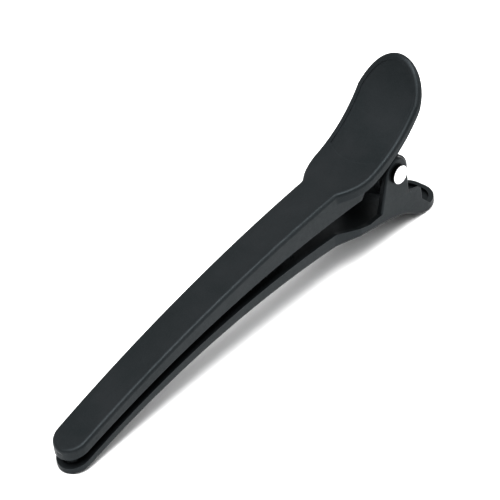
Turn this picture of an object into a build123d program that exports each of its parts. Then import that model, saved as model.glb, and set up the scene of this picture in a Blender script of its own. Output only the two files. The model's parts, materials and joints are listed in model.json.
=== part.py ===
"""Alligator hair clip: two arched plastic arms on a rivet, closed by a torsion spring.

Millimetres. +X runs from the jaw tips to the levers, +Z is up, and the clip rests on the
lower arm's tip and lever end at Z = 0. Side profiles are drawn on side_plane, whose local
origin is the hinge axis: local x runs along the clip and local y is up.
"""
import os
from math import acos, atan2, cos, hypot, radians, sin, sqrt

from build123d import *

# --- driving dimensions -----------------------------------------------------------
hinge_z = 15.45                # hinge axis above the resting plane

# upper arm, seen from the side
jaw_top_radius = 395.0         # long arch of the jaw's top
jaw_tip_heading = 15.9         # slope of the top at the tip, degrees
lever_start_heading = 3.5      # slope where the arch turns into the lever, degrees
lever_end_heading = 65.0       # slope at the lever's end, degrees
lever_top_radius = 30.0        # thumb curve of the lever's top
lever_start = (-14.6, 4.9)     # where the two curves meet
plate_thickness = 2.3
lever_end_thickness = 1.3      # the lever thins towards its end
skirt_radius = 298.5           # lower edge of the jaw's side walls
skirt_apex = (-18.7, -1.0)
skirt_end = -10.3              # where the side walls stop, behind the shoulder
skirt_corner = (-8.9, 0.6)
skirt_top = (-7.6, 5.0)
upper_wall = 1.3
arm_edge = 0.8                 # rounding of the upper arm's outer edges
lever_under_edge = 0.35        # rounding of the lever's edges underneath
corner_ease = 2.0              # rounding inside the shoulder's corner

# upper arm, seen from above
upper_tip = -98.5
tip_half_width = 4.15
jaw_half_width = 4.95          # at the shoulder
jaw_root = -6.0                # where the straight side walls end
root_growth = 0.1              # the walls keep opening at the same slope up to the root
shoulder_start = -17.4
shoulder_end = -8.6
shoulder_radius = 14.0
lever_half_width = 8.0         # just behind the shoulder
lever_end_half_width = 8.75
lever_round = 12.6             # length of the lever's rounded end
rim_width = 1.3                # raised rim around the thumb recess
recess_depth = 0.15
recess_start = -6.0
recess_front = 12.0            # radius of the recess's front edge

# gripping lip inside the upper jaw
lip_inset = 1.4                # behind the upper arm's tip
lip_half_width = 2.3           # at its round nose
lip_root_half_width = 2.7
lip_wall = 1.0
lip_clearance = 0.35           # above the lower arm's edge when closed
lip_end = -30.0
tooth_pitch = 2.4
tooth_radius = 1.3             # hollow between two teeth
tooth_depth = 0.75
tooth_count = 28
nose_pitch = 0.9               # finer teeth across the nose
nose_tooth_radius = 0.35
nose_rows = 2                  # on each side of the middle one

# lower arm, seen from the side
lower_tip = -98.5
lower_top_radius = 236.0
lower_top_apex = (-31.9, -4.6)
lower_bottom_radius = 229.7
lower_bottom_apex = (-36.4, -7.4)
lower_floor = 1.0
flare_start = -19.3
flare_end = -13.0
belly_points = [(-5.4, -10.05), (2.5, -12.6)]    # underside between the jaw and the foot
foot_start = 9.0
wall_drop = -18.8              # where the jaw's edge turns down towards the ears
wall_top = [(-10.0, -7.4), (-6.4, -7.3), (3.1, -6.9), (7.0, -8.2), (7.1, -11.3), (9.2, -13.7)]
lever_tip = 13.75
lever_lip = 1.5                # height of the lever's end
lever_floor = 0.9

# lower arm, seen from above
lower_tip_half_width = 3.95
lower_jaw_half_width = 4.8
lower_wall = 1.1
flare_ease = 4.0               # rounding of the flare's two bends
lower_edge = 0.6               # rounding of the lower arm's edges underneath
ear_edge = 0.5                 # rounding round the ears' outer faces
wall_end_edge = 0.4            # rounding of the side walls' upright rear edges
rim_limit = 55.0               # edges across the arm beyond this are its two ends
ear_outer = 6.2
ear_inner = 4.9
lever_corner = 5.3

# hinge
pin_radius = 1.2
pin_running = 0.05
head_radius = 2.17
head_height = 1.0
head_edge = 0.2
ear_top = (0.0, 0.3)
ear_top_radius = 3.3
ear_front = (-6.8, -9.0)       # feet of the ear, inside the side wall
ear_back = (3.15, -9.0)
lug_outer = 4.65
lug_inner = 3.3
lug_centre = (0.2, -1.2)
lug_radius = 4.6
lug_web = [(-4.2, 0.0), (-6.4, 4.5), (0.6, 8.6), (2.5, 2.8)]

# torsion spring
wire_radius = 0.45
coil_radius = 2.35
leg_radius = 2.45              # the straight legs leave the coil slightly outside its middle
coil_pitch = 0.88
coil_turns = 6
upper_leg_end = (4.2, 9.5)     # against the upper lever's underside
lower_leg_end = (5.6, -12.5)   # on the lower lever's floor

hinge_x = -(upper_tip + lever_tip) / 2     # the origin is at the middle of the whole length

os.makedirs("parts", exist_ok=True)

side_plane = Plane(origin=(hinge_x, 0, hinge_z), x_dir=(1, 0, 0), z_dir=(0, -1, 0))
top_plane = Plane(origin=(hinge_x, 0, 0), x_dir=(1, 0, 0), z_dir=(0, 0, 1))
full_width = 30.0
full_height = 60.0
beyond = 20.0                  # how far cutting shapes run past what they cut
near = 0.3                     # how close counts as being on a line or plane
top_face_area = 300.0          # the arm's top faces are larger than this


def heading(angle):
    return (cos(radians(angle)), sin(radians(angle)))


# The upper arm's top is two tangent arcs: the jaw's arch, centred far below, and the
# lever's curve, centred above it.
jaw_centre = (
    lever_start[0] + jaw_top_radius * sin(radians(lever_start_heading)),
    lever_start[1] - jaw_top_radius * cos(radians(lever_start_heading)),
)
lever_centre = (
    lever_start[0] - lever_top_radius * sin(radians(lever_start_heading)),
    lever_start[1] + lever_top_radius * cos(radians(lever_start_heading)),
)


def jaw_curve(depth):
    """The upper arm's arch, depth below its top, from the tip to the lever."""
    radius = jaw_top_radius - depth
    start = (
        jaw_centre[0] - radius * sin(radians(jaw_tip_heading)),
        jaw_centre[1] + radius * cos(radians(jaw_tip_heading)),
    )
    return JernArc(start, heading(jaw_tip_heading), radius, lever_start_heading - jaw_tip_heading)


def lever_point(slope, depth):
    """The point depth below the lever's top where the top has this slope in degrees."""
    radius = lever_top_radius + depth
    return (
        lever_centre[0] + radius * sin(radians(slope)),
        lever_centre[1] - radius * cos(radians(slope)),
    )


def lever_curve(depth, end_depth):
    """The lever's curve, going from depth below its top to end_depth at its end."""
    middle_slope = (lever_start_heading + lever_end_heading) / 2
    return ThreePointArc(
        lever_point(lever_start_heading, depth),
        lever_point(middle_slope, (depth + end_depth) / 2),
        lever_point(lever_end_heading, end_depth),
    )


def arch_point(x, apex, radius):
    """The point of an arch at x, from its highest point and radius."""
    return (x, apex[1] - radius + sqrt(radius ** 2 - (x - apex[0]) ** 2))


def arch_arc(start_x, end_x, apex, radius):
    """An arch between two values of x."""
    middle_x = (start_x + end_x) / 2
    return ThreePointArc(
        arch_point(start_x, apex, radius),
        arch_point(middle_x, apex, radius),
        arch_point(end_x, apex, radius),
    )


def jaw_outline(tip, tip_half, root, root_half, inset):
    """Half plan of a jaw, shrunk by inset: the round tip and one flank up to its root."""
    nose = RadiusArc((tip + inset, 0), (tip + tip_half, tip_half - inset), tip_half - inset)
    flank = Line(nose @ 1, (root, root_half - inset))
    return nose, flank


# --- upper arm --------------------------------------------------------------------
with BuildSketch(top_plane) as arm_plan:
    with BuildLine():
        nose, flank = jaw_outline(upper_tip, tip_half_width, shoulder_start, jaw_half_width, 0)
        swell = RadiusArc(flank @ 1, (shoulder_end, lever_half_width), shoulder_radius)
        side = Line(swell @ 1, (beyond, lever_end_half_width))
        Polyline(side @ 1, (beyond, 0), nose @ 0)
    make_face()
    mirror(about=Plane.XZ)

# the jaw's walls run straight on under the shoulder, as far as root
root_half_width = jaw_half_width + root_growth

with BuildSketch(top_plane) as jaw_plan:
    with BuildLine():
        nose, flank = jaw_outline(upper_tip, tip_half_width, jaw_root, root_half_width, 0)
        Polyline(flank @ 1, (jaw_root, 0), nose @ 0)
    make_face()
    mirror(about=Plane.XZ)

with BuildSketch(top_plane) as channel_plan:
    with BuildLine():
        nose, flank = jaw_outline(upper_tip, tip_half_width, jaw_root, root_half_width, upper_wall)
        Polyline(flank @ 1, (jaw_root, 0), nose @ 0)
    make_face()
    mirror(about=Plane.XZ)

with BuildSketch(top_plane) as recess_plan:
    with BuildLine():
        recess_half = lever_half_width - rim_width
        front = RadiusArc((recess_start, recess_half), (recess_start, -recess_half), -recess_front)
        side = Line(front @ 0, (beyond, lever_end_half_width - rim_width))
        Polyline(side @ 1, (beyond, rim_width - lever_end_half_width), front @ 1)
    make_face()

with BuildSketch(top_plane) as lip_plan:
    for inset in (0, lip_wall):
        with BuildLine():
            lip_tip = upper_tip + lip_inset
            nose, flank = jaw_outline(lip_tip, lip_half_width, lip_end, lip_root_half_width, inset)
            Polyline(flank @ 1, (lip_end, 0), nose @ 0)
        make_face(mode=Mode.SUBTRACT if inset else Mode.ADD)
    mirror(about=Plane.XZ)

# plane lying on the lever's top at its end: x across the arm, y along the lever
with BuildLine():
    lever_end = side_plane.from_local_coords(lever_curve(0, 0) @ 1)
end_normal = (-sin(radians(lever_end_heading)), 0, cos(radians(lever_end_heading)))
end_plane = Plane(origin=lever_end, x_dir=(0, 1, 0), z_dir=end_normal)


def rounded_end(inset):
    """What lies beyond the lever's rounded end, as a sketch on end_plane."""
    half = lever_end_half_width - inset
    with Locations((0, 0)):
        Rectangle(full_width, full_width)
    with Locations((0, lever_round)):
        Ellipse(half, lever_round - inset, mode=Mode.SUBTRACT)
        Rectangle(2 * half, full_width, align=(Align.CENTER, Align.MIN), mode=Mode.SUBTRACT)


with BuildPart() as upper_arm:
    with BuildSketch(side_plane):
        with BuildLine():
            outer_jaw = jaw_curve(0)
            outer_lever = lever_curve(0, 0)
            inner_jaw = jaw_curve(plate_thickness)
            inner_lever = lever_curve(plate_thickness, lever_end_thickness)
            Line(outer_lever @ 1, inner_lever @ 1)
            Line(outer_jaw @ 0, inner_jaw @ 0)
        make_face()
    extrude(amount=full_width / 2, both=True)
    extrude(arm_plan.sketch, amount=full_height, mode=Mode.INTERSECT)
    with BuildSketch(end_plane):
        rounded_end(0)
    extrude(amount=beyond, both=True, mode=Mode.SUBTRACT)
    corners = upper_arm.edges().filter_by(GeomType.LINE).filter_by_position(
        Axis.X, hinge_x + shoulder_start - near, hinge_x + shoulder_start + near)
    fillet(corners.filter_by(lambda edge: abs(edge.center().Y) > near), radius=corner_ease)
    tops = upper_arm.faces().filter_by(GeomType.CYLINDER).filter_by(
        lambda face: face.area > top_face_area and face.normal_at().Z > 0)
    rims = tops.edges().filter_by(lambda edge: abs(edge.center().Y) > near or edge.center().X < 0)
    fillet(rims.filter_by(lambda edge: edge.geom_type != GeomType.LINE), radius=arm_edge)
    undersides = upper_arm.faces().filter_by(GeomType.CYLINDER).filter_by(
        lambda face: face.normal_at().Z < 0 and face.center().X > hinge_x)
    lower_rims = undersides.edges().filter_by(lambda edge: edge.center().X > hinge_x + near)
    fillet(lower_rims, radius=lever_under_edge)
    # side walls of the jaw, straight under the wider shoulder
    with BuildSketch(side_plane):
        with BuildLine():
            roof = jaw_curve(plate_thickness / 2)
            skirt = arch_arc(upper_tip, skirt_end, skirt_apex, skirt_radius)
            Line(roof @ 0, skirt @ 0)
            Polyline(skirt @ 1, skirt_corner, skirt_top, roof @ 1)
        make_face()
    walls = extrude(amount=full_width / 2, both=True, mode=Mode.PRIVATE)
    footprint = extrude(jaw_plan.sketch, amount=full_height, mode=Mode.PRIVATE)
    add(walls & footprint)
    # channel between the side walls, open below and at the rear
    with BuildSketch(side_plane):
        with BuildLine():
            roof = jaw_curve(plate_thickness)
            curl = lever_curve(plate_thickness, lever_end_thickness)
            Polyline(roof @ 0, (upper_tip, -beyond), (beyond, -beyond), curl @ 1)
        make_face()
    channel = extrude(amount=full_width / 2, both=True, mode=Mode.PRIVATE)
    inside = extrude(channel_plan.sketch, amount=full_height, mode=Mode.PRIVATE)
    add(channel & inside, mode=Mode.SUBTRACT)
    # shallow thumb recess inside the lever's rim
    with BuildSketch(side_plane):
        with BuildLine():
            floor = lever_curve(recess_depth, recess_depth)
            Polyline(floor @ 0, (lever_start[0], beyond), (-beyond, 2 * beyond), floor @ 1)
        make_face()
    hollow = extrude(amount=full_width / 2, both=True, mode=Mode.PRIVATE)
    within = extrude(recess_plan.sketch, amount=full_height, mode=Mode.PRIVATE)
    with BuildSketch(end_plane, mode=Mode.PRIVATE) as beyond_rim:
        rounded_end(rim_width)
    outside = extrude(beyond_rim.sketch, amount=beyond, both=True, mode=Mode.PRIVATE)
    add((hollow & within) - outside, mode=Mode.SUBTRACT)
    # gripping lip: a toothed wall inside the side walls, closing the gap to the lower arm
    with BuildSketch(side_plane):
        with BuildLine():
            roof = jaw_curve(plate_thickness / 2)
            lip = arch_arc(upper_tip, lip_end, lower_top_apex, lower_top_radius + lip_clearance)
            Line(roof @ 0, lip @ 0)
            Polyline(lip @ 1, (lip_end, 0), roof @ 1)
        make_face()
    blank = extrude(amount=full_width / 2, both=True, mode=Mode.PRIVATE)
    ring = extrude(lip_plan.sketch, amount=full_height, mode=Mode.PRIVATE)
    teeth = []
    for row in range(1, tooth_count):
        x = upper_tip + lip_inset + tooth_pitch * row
        bottom = arch_point(x, lower_top_apex, lower_top_radius + lip_clearance)
        with Locations(side_plane.from_local_coords((x, bottom[1] - tooth_radius + tooth_depth))):
            teeth.append(Cylinder(tooth_radius, full_width, rotation=(90, 0, 0), mode=Mode.PRIVATE))
    nose_bottom = arch_point(upper_tip + lip_inset, lower_top_apex, lower_top_radius + lip_clearance)
    nose_point = side_plane.from_local_coords(nose_bottom)
    for row in range(-nose_rows, nose_rows + 1):
        with Locations((nose_point.X, nose_pitch * row, nose_point.Z)):
            teeth.append(Cylinder(nose_tooth_radius, tooth_pitch, rotation=(0, 90, 0), mode=Mode.PRIVATE))
    add((blank & ring) - teeth)
    # lugs round the pin, between the lower arm's ears
    for face_y in (lug_inner, -lug_outer):
        with BuildSketch(side_plane.offset(face_y)):
            with Locations(lug_centre):
                Circle(lug_radius)
            with BuildLine():
                Polyline(*lug_web, close=True)
            make_face()
            Circle(pin_radius + pin_running, mode=Mode.SUBTRACT)
        extrude(amount=lug_outer - lug_inner)
upper_arm.part.label = "upper_arm"
export_step(upper_arm.part, "parts/upper_arm.step")


# --- lower arm --------------------------------------------------------------------
def lower_outline(inset):
    """Half plan of the lower arm, shrunk by inset: jaw, flare and the lever's end."""
    nose, flank = jaw_outline(lower_tip, lower_tip_half_width, flare_start, lower_jaw_half_width, inset)
    flare = Line(flank @ 1, (flare_end, ear_outer - inset))
    side = Line(flare @ 1, (lever_tip - lever_corner, ear_outer - inset))
    corner = RadiusArc(
        side @ 1, (lever_tip - inset, ear_outer - lever_corner), lever_corner - inset)
    Polyline(corner @ 1, (lever_tip - inset, 0), nose @ 0)


with BuildSketch(top_plane) as lower_plan:
    with BuildLine():
        lower_outline(0)
    make_face()
    mirror(about=Plane.XZ)

with BuildSketch(top_plane) as lower_channel_plan:
    with BuildLine():
        lower_outline(lower_wall)
    make_face()
    mirror(about=Plane.XZ)


def lower_curve(rise, foot_rise):
    """The lower arm's underside raised by rise, foot_rise at the lever's foot."""
    apex = (lower_bottom_apex[0], lower_bottom_apex[1] + rise)
    arch = arch_arc(lower_tip, flare_start, apex, lower_bottom_radius + rise)
    through = [(x, y + rise) for x, y in belly_points]
    foot = (foot_start, foot_rise - hinge_z)
    belly = Spline(arch @ 1, *through, foot, tangents=(arch % 1, (1, 0)))
    level = Line(belly @ 1, (lever_tip, foot_rise - hinge_z))
    return arch, level


with BuildPart() as lower_arm:
    with BuildSketch(side_plane):
        with BuildLine():
            underside, foot = lower_curve(0, 0)
            edge = arch_arc(lower_tip, wall_drop, lower_top_apex, lower_top_radius)
            Line(underside @ 0, edge @ 0)
            Polyline(edge @ 1, *wall_top, (lever_tip, lever_lip - hinge_z), foot @ 1)
        make_face()
    extrude(amount=full_width / 2, both=True)
    extrude(lower_plan.sketch, amount=full_height, both=True, mode=Mode.INTERSECT)
    bends = lower_arm.edges().filter_by(Axis.Z).filter_by_position(
        Axis.X, hinge_x + flare_start - near, hinge_x + flare_end + near)
    fillet(bends, radius=flare_ease)
    undersides = lower_arm.faces().filter_by(lambda face: face.normal_at().Z < -near)
    rims = undersides.edges().filter_by(
        lambda edge: abs(edge.center().Y) > near or abs(edge.tangent_at().Y) > near)
    rims = rims.filter_by(
        lambda edge: abs(edge.tangent_at().Y) < 1 - near or abs(edge.center().X) > rim_limit)
    fillet(rims, radius=lower_edge)
    wall_ends = lower_arm.edges().filter_by(GeomType.LINE).filter_by_position(
        Axis.X, hinge_x + wall_top[3][0], hinge_x + wall_top[4][0])
    wall_ends = wall_ends.filter_by(lambda edge: abs(edge.center().Y) > ear_outer - near)
    fillet(wall_ends, radius=wall_end_edge)
    with BuildSketch(side_plane):
        with BuildLine():
            floor, dish = lower_curve(lower_floor, lever_floor)
            Polyline(floor @ 0, (lower_tip, beyond), (lever_tip, beyond), dish @ 1)
        make_face()
    channel = extrude(amount=full_width / 2, both=True, mode=Mode.PRIVATE)
    inside = extrude(lower_channel_plan.sketch, amount=full_height, mode=Mode.PRIVATE)
    add(channel & inside, mode=Mode.SUBTRACT)
    # ears round the pin, outside the upper arm's lugs
    for face_y in (ear_inner, -ear_outer):
        with BuildSketch(side_plane.offset(face_y)):
            with BuildLine():
                CenterArc(ear_top, ear_top_radius, 0, 360)
                Line(ear_front, ear_back)
            make_hull()
            Circle(pin_radius + pin_running, mode=Mode.SUBTRACT)
        ear = extrude(amount=ear_outer - ear_inner, mode=Mode.PRIVATE)
        outer_rim = ear.faces().sort_by(lambda face: abs(face.center().Y))[-1].outer_wire().edges()
        add(ear.fillet(ear_edge, outer_rim.sort_by(Axis.Z)[1:]))
    split(bisect_by=Plane.XY, keep=Keep.TOP)
lower_arm.part.label = "lower_arm"
export_step(lower_arm.part, "parts/lower_arm.step")

# --- hinge rivet ------------------------------------------------------------------
with BuildPart() as hinge_rivet:
    with BuildSketch(side_plane):
        Circle(pin_radius)
    extrude(amount=ear_outer, both=True)
    for face_y, growth in ((ear_outer, head_height), (-ear_outer, -head_height)):
        with BuildSketch(side_plane.offset(face_y)):
            Circle(head_radius)
        extrude(amount=growth)
    heads = hinge_rivet.edges().group_by(Axis.Y)
    fillet(heads[0] + heads[-1], radius=head_edge)
hinge_rivet.part.label = "hinge_rivet"
export_step(hinge_rivet.part, "parts/hinge_rivet.step")


# --- torsion spring ---------------------------------------------------------------
def tangent_leg(end, side):
    """Where a straight leg ending at end leaves the coil, on the side towards the jaws."""
    reach = hypot(*end)
    angle = atan2(end[1], end[0]) - side * acos(leg_radius / reach)
    return (leg_radius * cos(angle), leg_radius * sin(angle))


with BuildPart() as torsion_spring:
    coil_end = coil_pitch * (coil_turns - 1) / 2
    for turn in range(coil_turns):
        with Locations((hinge_x, turn * coil_pitch - coil_end, hinge_z)):
            Torus(coil_radius, wire_radius, rotation=(90, 0, 0))
    for end, side, leg_y in ((upper_leg_end, -1, -coil_end), (lower_leg_end, 1, coil_end)):
        leg_plane = side_plane.offset(leg_y)
        start = leg_plane.from_local_coords(Vector(*tangent_leg(end, side), 0))
        finish = leg_plane.from_local_coords(Vector(*end, 0))
        with BuildSketch(Plane(origin=start, z_dir=finish - start)):
            Circle(wire_radius)
        extrude(amount=(finish - start).length)
torsion_spring.part.label = "torsion_spring"
export_step(torsion_spring.part, "parts/torsion_spring.step")
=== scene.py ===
"""Looks of the alligator hair clip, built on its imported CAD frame. Metres, +Z up."""
import json
from math import acos, atan2, cos, hypot, pi, radians, sin

import bmesh
import bpy
from mathutils import Matrix, Vector

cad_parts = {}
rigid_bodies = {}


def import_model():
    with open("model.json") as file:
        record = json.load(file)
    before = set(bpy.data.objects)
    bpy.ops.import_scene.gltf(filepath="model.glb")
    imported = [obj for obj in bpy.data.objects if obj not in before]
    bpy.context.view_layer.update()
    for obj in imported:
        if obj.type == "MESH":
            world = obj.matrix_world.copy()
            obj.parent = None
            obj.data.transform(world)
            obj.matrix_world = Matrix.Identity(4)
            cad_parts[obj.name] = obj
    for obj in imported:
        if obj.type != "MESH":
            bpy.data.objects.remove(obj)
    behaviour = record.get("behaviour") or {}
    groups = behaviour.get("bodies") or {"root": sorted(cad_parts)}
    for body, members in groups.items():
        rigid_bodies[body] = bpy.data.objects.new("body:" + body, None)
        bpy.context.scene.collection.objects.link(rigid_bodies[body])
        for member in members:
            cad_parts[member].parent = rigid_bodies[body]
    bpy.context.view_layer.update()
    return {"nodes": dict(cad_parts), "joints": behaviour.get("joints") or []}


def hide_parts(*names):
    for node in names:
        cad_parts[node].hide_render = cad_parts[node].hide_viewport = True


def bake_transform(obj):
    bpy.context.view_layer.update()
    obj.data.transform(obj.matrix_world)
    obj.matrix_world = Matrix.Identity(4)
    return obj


# a factory-start file holds a cube, a lamp and a camera, which aren't wanted here
for leftover in list(bpy.data.objects):
    bpy.data.objects.remove(leftover)

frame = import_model()
mm = 0.001
hinge = Vector(frame["joints"][0]["pos_m"])

# --- torsion spring: coil size and leg ends as in the CAD stand-in -----------------
wire_radius = 0.42 * mm        # the stand-in's is 0.45 mm, at which these turns would overlap
coil_radius = 2.35 * mm
coil_half_length = 2.2 * mm
coil_turns = 6
upper_leg_end = (4.2 * mm, 9.5 * mm)
lower_leg_end = (5.6 * mm, -12.5 * mm)
wire_sides = 16
steps_per_turn = 40
leg_steps = 12
end_chamfer = 0.25             # of the wire's radius

# --- edge wear: cosine between the true and the rounded normal ---------------------
flat_cosine = 0.995
edge_cosine = 0.93

# --- studio -----------------------------------------------------------------------
floor_size = 6.0
floor_drop = 0.05 * mm         # keeps the floor clear of the flat foot
world_strength = 0.42
exposure = 0.25
focal_length = 219.96
camera_offset = Vector((-0.378198, -0.36925, 0.385209))    # from the hinge
camera_turn = -42.52           # degrees about Z, then tilt about X, then roll
camera_tilt = 52.62
camera_roll = -8.42


# --- node helpers -----------------------------------------------------------------
def new_material(name):
    material = bpy.data.materials.new(name)
    material.use_nodes = True
    tree = material.node_tree
    return material, tree, tree.nodes["Principled BSDF"]


def add(tree, kind, **settings):
    """A new node; settings are its properties, or its inputs where it has one of that name."""
    node = tree.nodes.new(kind)
    for key, value in settings.items():
        name = key.replace("_", " ").title()
        if name in node.inputs:
            node.inputs[name].default_value = value
        else:
            setattr(node, key, value)
    return node


def join(tree, source, target):
    tree.links.new(source, target)


def noise(tree, coords, scale, detail=3.0, roughness=0.5):
    texture = add(tree, "ShaderNodeTexNoise", scale=scale, detail=detail, roughness=roughness)
    join(tree, coords, texture.inputs["Vector"])
    return texture.outputs["Fac"]


def spread(tree, value, low, high, to_low=0.0, to_high=1.0):
    """value from low..high mapped onto to_low..to_high and clamped."""
    remap = add(tree, "ShaderNodeMapRange")
    join(tree, value, remap.inputs["Value"])
    remap.inputs["From Min"].default_value = low
    remap.inputs["From Max"].default_value = high
    remap.inputs["To Min"].default_value = to_low
    remap.inputs["To Max"].default_value = to_high
    return remap.outputs["Result"]


def mix_colour(tree, factor, first, second):
    mixer = add(tree, "ShaderNodeMix", data_type="RGBA")
    join(tree, factor, mixer.inputs[0])
    for socket, colour in ((mixer.inputs[6], first), (mixer.inputs[7], second)):
        if isinstance(colour, tuple):
            socket.default_value = (*colour, 1.0)
        else:
            join(tree, colour, socket)
    return mixer.outputs[2]


def combine(tree, operation, first, second):
    node = add(tree, "ShaderNodeMath", operation=operation)
    for socket, value in zip(node.inputs, (first, second)):
        if isinstance(value, float):
            socket.default_value = value
        else:
            join(tree, value, socket)
    return node.outputs[0]


def object_coords(tree):
    return add(tree, "ShaderNodeTexCoord").outputs["Object"]


def edge_mask(tree, radius):
    """1 along the edges of a piece and 0 on its flat parts."""
    bevel = add(tree, "ShaderNodeBevel", samples=6, radius=radius)
    geometry = add(tree, "ShaderNodeNewGeometry")
    dot = add(tree, "ShaderNodeVectorMath", operation="DOT_PRODUCT")
    join(tree, bevel.outputs["Normal"], dot.inputs[0])
    join(tree, geometry.outputs["Normal"], dot.inputs[1])
    return spread(tree, dot.outputs["Value"], flat_cosine, edge_cosine)


def bump(tree, height, distance, strength=1.0, below=None):
    node = add(tree, "ShaderNodeBump", distance=distance, strength=strength)
    join(tree, height, node.inputs["Height"])
    if below is not None:
        join(tree, below, node.inputs["Normal"])
    return node.outputs["Normal"]


# --- materials --------------------------------------------------------------------
def plastic():
    """Black moulded plastic with a fine satin grain, rubbed smoother along its edges."""
    material, tree, shader = new_material("satin_black_plastic")
    coords = object_coords(tree)
    clouds = noise(tree, coords, 130.0, 2.0)
    mottle = noise(tree, coords, 1100.0, 4.0)
    grain = noise(tree, coords, 5200.0, 3.0, 0.6)
    swell = noise(tree, coords, 420.0, 2.0)
    edges = edge_mask(tree, 0.35 * mm)
    rubbed = combine(tree, "MULTIPLY", edges, spread(tree, mottle, 0.35, 0.65, 0.35, 1.0))

    dark, light = (0.0085, 0.0105, 0.0112), (0.0150, 0.0160, 0.0172)
    shade = mix_colour(tree, spread(tree, clouds, 0.3, 0.7), dark, light)
    speckle = spread(tree, grain, 0.35, 0.75, 0.0, 0.55)
    speckled = mix_colour(tree, speckle, shade, (0.026, 0.029, 0.031))
    worn = mix_colour(tree, combine(tree, "MULTIPLY", rubbed, 0.6), speckled, (0.030, 0.034, 0.037))
    join(tree, worn, shader.inputs["Base Color"])

    satin = spread(tree, mottle, 0.3, 0.7, 0.37, 0.47)
    polished = combine(tree, "SUBTRACT", satin, combine(tree, "MULTIPLY", rubbed, 0.12))
    join(tree, polished, shader.inputs["Roughness"])
    shader.inputs["Specular IOR Level"].default_value = 0.34
    shader.inputs["Specular Tint"].default_value = (0.84, 0.95, 1.0, 1.0)

    low = bump(tree, swell, 0.03 * mm, 0.5)
    join(tree, bump(tree, grain, 0.016 * mm, 0.8, low), shader.inputs["Normal"])
    return material


def steel(name, dark, light, rough, polish, grain_scale, stretch):
    """Bright metal with fine drawn or rubbed lines along stretch."""
    material, tree, shader = new_material(name)
    coords = object_coords(tree)
    mapping = add(tree, "ShaderNodeMapping")
    join(tree, coords, mapping.inputs["Vector"])
    mapping.inputs["Scale"].default_value = stretch
    lines = noise(tree, mapping.outputs["Vector"], grain_scale, 5.0, 0.65)
    blotches = noise(tree, coords, 900.0, 3.0)
    edges = edge_mask(tree, 0.12 * mm)
    tint = mix_colour(tree, spread(tree, blotches, 0.3, 0.7), dark, light)
    bright = mix_colour(tree, combine(tree, "MULTIPLY", edges, 0.5), tint, (0.86, 0.86, 0.86))
    join(tree, bright, shader.inputs["Base Color"])
    shader.inputs["Metallic"].default_value = 1.0
    drawn = spread(tree, lines, 0.3, 0.7, polish, rough)
    worn = combine(tree, "SUBTRACT", drawn, combine(tree, "MULTIPLY", edges, 0.08))
    join(tree, worn, shader.inputs["Roughness"])
    join(tree, bump(tree, lines, 0.006 * mm, 0.6), shader.inputs["Normal"])
    return material


def rivet_steel():
    """Turned rivet: bright end faces; the sides get a near-black colour, a painted reflection of the black
    plastic beside them.
    """
    material, tree, shader = new_material("rivet_steel")
    coords = add(tree, "ShaderNodeTexCoord")
    blotches = noise(tree, coords.outputs["Object"], 1300.0, 4.0)
    scratches = add(tree, "ShaderNodeMapping")
    join(tree, coords.outputs["Object"], scratches.inputs["Vector"])
    scratches.inputs["Scale"].default_value = (1.0, 1.0, 0.2)
    lines = noise(tree, scratches.outputs["Vector"], 2600.0, 5.0, 0.65)
    # painted reflection: surfaces facing along the pin axis get the bright colour, the sides a near-black
    # one that stands in for the dark plastic they reflect
    facing = add(tree, "ShaderNodeSeparateXYZ")
    join(tree, coords.outputs["Normal"], facing.inputs["Vector"])
    face = spread(tree, combine(tree, "ABSOLUTE", facing.outputs["Y"], 0.0), 0.35, 0.8)
    blotch = spread(tree, blotches, 0.3, 0.7)
    bright = mix_colour(tree, blotch, (0.70, 0.70, 0.71), (0.86, 0.86, 0.86))
    # painted reflection: near-black side colour copying the reflected black plastic
    dark = mix_colour(tree, blotch, (0.035, 0.036, 0.038), (0.060, 0.061, 0.064))
    join(tree, mix_colour(tree, face, dark, bright), shader.inputs["Base Color"])
    shader.inputs["Metallic"].default_value = 1.0
    join(tree, spread(tree, lines, 0.3, 0.7, 0.24, 0.40), shader.inputs["Roughness"])
    join(tree, bump(tree, lines, 0.005 * mm, 0.5), shader.inputs["Normal"])
    return material


def floor_finish():
    """Pale matte board."""
    material, tree, shader = new_material("pale_board")
    coords = object_coords(tree)
    tone = mix_colour(tree, noise(tree, coords, 12.0, 3.0), (0.90, 0.90, 0.90), (0.93, 0.93, 0.93))
    join(tree, tone, shader.inputs["Base Color"])
    roughness = spread(tree, noise(tree, coords, 300.0, 2.0), 0.3, 0.7, 0.75, 0.85)
    join(tree, roughness, shader.inputs["Roughness"])
    return material


arm_plastic = plastic()
rivet_metal = rivet_steel()
spring_steel = steel(
    "drawn_wire_steel", dark=(0.30, 0.29, 0.27), light=(0.46, 0.45, 0.42),
    rough=0.40, polish=0.24, grain_scale=3800.0, stretch=(1.0, 0.2, 1.0))

for name, material in (("upper_arm", arm_plastic), ("lower_arm", arm_plastic), ("hinge_rivet", rivet_metal)):
    frame["nodes"][name].data.materials.clear()
    frame["nodes"][name].data.materials.append(material)


# --- torsion spring ---------------------------------------------------------------
def leg_angle(end, side):
    """Angle round the coil at which a straight leg ending at end touches it."""
    return atan2(end[1], end[0]) + side * acos(coil_radius / hypot(*end))


def wire_path():
    """Points along the wire: up the lower leg, round the coil and up the upper leg."""
    first = leg_angle(lower_leg_end, -1)
    last = leg_angle(upper_leg_end, 1)
    sweep = (last - first) % (2 * pi) - 2 * pi * coil_turns
    steps = steps_per_turn * coil_turns
    coil = []
    for step in range(steps + 1):
        share = step / steps
        angle = first + sweep * share
        across = coil_half_length * (2 * share - 1)
        coil.append(Vector((coil_radius * cos(angle), across, coil_radius * sin(angle))))
    lower = Vector((lower_leg_end[0], -coil_half_length, lower_leg_end[1]))
    upper = Vector((upper_leg_end[0], coil_half_length, upper_leg_end[1]))
    down = [lower.lerp(coil[0], step / leg_steps) for step in range(leg_steps)]
    up = [coil[-1].lerp(upper, step / leg_steps) for step in range(1, leg_steps + 1)]
    return [hinge + point for point in down + coil + up]


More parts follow.
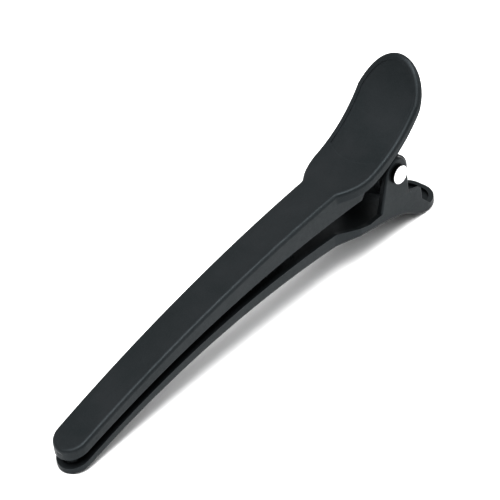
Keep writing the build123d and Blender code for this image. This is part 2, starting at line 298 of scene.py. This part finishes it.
def tube(name, path, radius, sides):
    """A round wire along path, its ends cut square with a small chamfer."""
    mesh = bmesh.new()
    rings = []
    normal = Vector((0, 1, 0))
    count = len(path)
    along = [(path[min(i + 1, count - 1)] - path[max(i - 1, 0)]).normalized() for i in range(count)]
    chamfer = radius * end_chamfer
    stations = [(path[0], along[0], radius - chamfer)]
    stations += [(path[0] + along[0] * chamfer, along[0], radius)]
    stations += [(path[i], along[i], radius) for i in range(1, count - 1)]
    stations += [(path[-1] - along[-1] * chamfer, along[-1], radius)]
    stations += [(path[-1], along[-1], radius - chamfer)]
    angles = [2 * pi * k / sides for k in range(sides)]
    for centre, tangent, size in stations:
        normal = (normal - tangent * normal.dot(tangent)).normalized()
        binormal = tangent.cross(normal)
        rings.append([
            mesh.verts.new(centre + size * (cos(angle) * normal + sin(angle) * binormal))
            for angle in angles])
    for before, after in zip(rings, rings[1:]):
        for k in range(sides):
            face = mesh.faces.new((before[k], before[k - 1], after[k - 1], after[k]))
            face.smooth = True
    mesh.faces.new(rings[0])
    mesh.faces.new(reversed(rings[-1]))
    bmesh.ops.recalc_face_normals(mesh, faces=mesh.faces)
    data = bpy.data.meshes.new(name)
    mesh.to_mesh(data)
    mesh.free()
    piece = bpy.data.objects.new(name, data)
    bpy.context.scene.collection.objects.link(piece)
    return piece


spring = tube("spring_wire", wire_path(), wire_radius, wire_sides)
spring.data.materials.append(spring_steel)
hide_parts("torsion_spring")
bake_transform(spring)

# --- floor, light and camera ------------------------------------------------------
bpy.ops.mesh.primitive_plane_add(size=floor_size, location=(0, 0, -floor_drop))
floor = bpy.context.object
floor.name = "floor"
floor.data.materials.append(floor_finish())

world = bpy.data.worlds.new("studio")
bpy.context.scene.world = world
world.use_nodes = True
world.node_tree.nodes["Background"].inputs["Color"].default_value = (1.0, 1.0, 1.0, 1.0)
world.node_tree.nodes["Background"].inputs["Strength"].default_value = world_strength
bpy.context.scene.view_settings.view_transform = "Standard"
bpy.context.scene.view_settings.look = "High Contrast"
bpy.context.scene.view_settings.exposure = exposure


def softbox(name, direction, distance, length, width, power):
    """A rectangular area light facing the clip."""
    data = bpy.data.lights.new(name, "AREA")
    data.shape = "RECTANGLE"
    data.size = length
    data.size_y = width
    data.energy = power
    light = bpy.data.objects.new(name, data)
    towards = Vector(direction).normalized()
    light.location = towards * distance
    light.rotation_euler = towards.to_track_quat("Z", "Y").to_euler()
    bpy.context.scene.collection.objects.link(light)


softbox("key", (0.58, -0.59, 0.56), distance=0.9, length=0.5, width=0.5, power=1.0)
softbox("fill", (-0.5, 0.0, 0.9), distance=1.0, length=0.8, width=0.8, power=4.5)
softbox("strip", (0.1, -0.2, 1.0), distance=1.0, length=1.1, width=0.28, power=6.0)

camera_data = bpy.data.cameras.new("camera")
camera_data.sensor_width = 36.0
camera_data.lens = focal_length
camera_data.clip_start = 0.01
camera = bpy.data.objects.new("camera", camera_data)
turn = Matrix.Rotation(radians(camera_turn), 4, "Z")
tilt = Matrix.Rotation(radians(camera_tilt), 4, "X")
roll = Matrix.Rotation(radians(camera_roll), 4, "Z")
camera.matrix_world = Matrix.Translation(hinge + camera_offset) @ turn @ tilt @ roll
bpy.context.scene.collection.objects.link(camera)
bpy.context.scene.camera = camera
